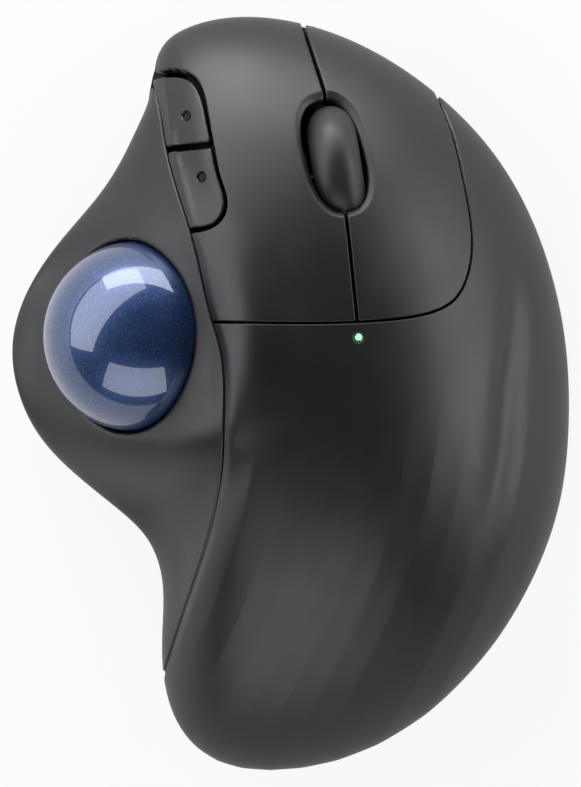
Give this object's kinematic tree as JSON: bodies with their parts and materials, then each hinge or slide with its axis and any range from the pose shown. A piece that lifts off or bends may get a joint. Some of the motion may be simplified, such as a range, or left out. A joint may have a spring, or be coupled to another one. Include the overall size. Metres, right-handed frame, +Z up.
{
  "type": "trackball mouse",
  "caption": "Right-handed wireless trackball mouse with a thumb ball, two main keys, a tilted scroll wheel, two side keys and a battery bay under a sloping palm shell.",
  "frame": {"origin": "centre of the footprint, on the desk plane under the feet", "axes": "+X to the user's right, +Y to the front (key end), +Z up"},
  "size_m": [0.099, 0.134, 0.0484],
  "materials": {
    "graphite_plastic": "fine satin texture",
    "base_plastic": "fine matte texture",
    "foot_plastic": "low-friction film",
    "steel": "bright",
    "circuit_board": "solder mask",
    "switch_black": "moulded",
    "switch_white": "moulded",
    "chip_black": "moulded",
    "inner_plastic": "moulded",
    "tyre_rubber": "smooth moulded rubber",
    "ball_blue": "polished, pearlescent",
    "bearing_ceramic": "polished ceramic",
    "clear_plastic": "clear moulded lens",
    "cell_sleeve": "plain sleeve",
    "nickel_steel": "nickel plated",
    "receiver_black": "plain",
    "slider_green": "moulded",
    "light_green": "translucent, lit"
  },
  "bodies": {
    "housing": {"base_shell": "base_plastic", "rubber_feet": "foot_plastic", "thumb_panel": "graphite_plastic", "palm_shell": "graphite_plastic", "hinge_pin": "steel", "side_board": "circuit_board", "forward_switch": "switch_black", "back_switch": "switch_black", "main_board": "circuit_board", "left_switch": "switch_black", "right_switch": "switch_black", "radio_shield": "steel", "controller_chip": "chip_black", "board_screws": "steel", "case_screws": "steel", "yoke_pin": "steel", "yoke_stand": "inner_plastic", "middle_switch": "switch_black", "ball_cup": "inner_plastic", "ball_bearings": "bearing_ceramic", "sensor_lens": "clear_plastic", "optical_sensor": "chip_black", "sensor_board": "circuit_board", "battery_bay": "inner_plastic", "battery_cell": "cell_sleeve", "contact_plate": "nickel_steel", "contact_spring": "nickel_steel", "usb_receiver": "receiver_black", "rear_board": "circuit_board", "power_switch": "switch_black", "connect_switch": "switch_black", "light_pipe": "light_green", "led_board": "circuit_board", "status_led": "light_green", "led_posts": "inner_plastic"},
    "left_key": {"left_key": "graphite_plastic"},
    "right_key": {"right_key": "graphite_plastic"},
    "forward_key": {"forward_key": "graphite_plastic"},
    "back_key": {"back_key": "graphite_plastic"},
    "left_plunger": {"left_plunger": "switch_white"},
    "right_plunger": {"right_plunger": "switch_white"},
    "forward_plunger": {"forward_plunger": "switch_white"},
    "back_plunger": {"back_plunger": "switch_white"},
    "middle_plunger": {"middle_plunger": "switch_white"},
    "yoke": {"wheel_yoke": "inner_plastic", "wheel_encoder": "switch_black"},
    "wheel": {"wheel_tyre": "tyre_rubber", "wheel_hub": "inner_plastic", "wheel_axle": "steel"},
    "trackball": {"trackball": "ball_blue"},
    "power_slider": {"power_slider": "slider_green"},
    "connect_button": {"connect_button": "inner_plastic"},
    "battery_door": {"battery_door": "base_plastic"}
  },
  "joints": [
    {"name": "left_press", "type": "hinge", "parent": "housing", "child": "left_key", "pos_m": [0, 0.00599, 0.0375], "axis": [-1, 0, 0], "range_deg": [0, 1], "stiffness_Nm_per_rad": 1.5},
    {"name": "right_press", "type": "hinge", "parent": "housing", "child": "right_key", "pos_m": [0, 0.00599, 0.0375], "axis": [-1, 0, 0], "range_deg": [0, 1], "stiffness_Nm_per_rad": 1.5},
    {"name": "left_plunger_slide", "type": "slide", "parent": "housing", "child": "left_plunger", "axis": [0, 0, -1], "range_m": [0, 0.0008]},
    {"name": "right_plunger_slide", "type": "slide", "parent": "housing", "child": "right_plunger", "axis": [0, 0, -1], "range_m": [0, 0.0008]},
    {"name": "forward_press", "type": "slide", "parent": "housing", "child": "forward_key", "axis": [0, 0, -1], "range_m": [0, 0.0006], "stiffness_N_per_m": 900},
    {"name": "back_press", "type": "slide", "parent": "housing", "child": "back_key", "axis": [0, 0, -1], "range_m": [0, 0.0006], "stiffness_N_per_m": 900},
    {"name": "forward_plunger_slide", "type": "slide", "parent": "housing", "child": "forward_plunger", "axis": [0, 0, -1], "range_m": [0, 0.0006]},
    {"name": "back_plunger_slide", "type": "slide", "parent": "housing", "child": "back_plunger", "axis": [0, 0, -1], "range_m": [0, 0.0006]},
    {"name": "wheel_click", "type": "hinge", "parent": "housing", "child": "yoke", "pos_m": [0.0103, 0.02708, 0.0185], "axis": [-0.9877, -0.1564, 0], "range_deg": [0, 1], "stiffness_Nm_per_rad": 1.5},
    {"name": "middle_plunger_slide", "type": "slide", "parent": "housing", "child": "middle_plunger", "axis": [0, 0, -1], "range_m": [0, 0.0005]},
    {"name": "wheel_spin", "type": "hinge", "parent": "yoke", "child": "wheel", "pos_m": [0.0085, 0.03844, 0.03], "axis": [0.9877, 0.1564, 0], "continuous": true},
    {"name": "ball_roll", "type": "hinge", "parent": "housing", "child": "trackball", "pos_m": [-0.0268, 0.01008, 0.0245], "axis": [0, 1, 0], "continuous": true},
    {"name": "power_slide", "type": "slide", "parent": "housing", "child": "power_slider", "axis": [0, 1, 0], "range_m": [-0.004, 0]},
    {"name": "connect_press", "type": "slide", "parent": "housing", "child": "connect_button", "axis": [0, 0, 1], "range_m": [0, 0.0005], "stiffness_N_per_m": 300},
    {"name": "door_lift", "type": "slide", "parent": "housing", "child": "battery_door", "axis": [0, 0, -1], "range_m": [0, 0.03]}
  ],
  "couplings": [
    {"joint": "left_plunger_slide", "follows": "left_press", "m_per_rad": 0.041937},
    {"joint": "right_plunger_slide", "follows": "right_press", "m_per_rad": 0.037444},
    {"joint": "forward_plunger_slide", "follows": "forward_press", "ratio": 1},
    {"joint": "back_plunger_slide", "follows": "back_press", "ratio": 1},
    {"joint": "middle_plunger_slide", "follows": "wheel_click", "m_per_rad": 0.0255}
  ]
}
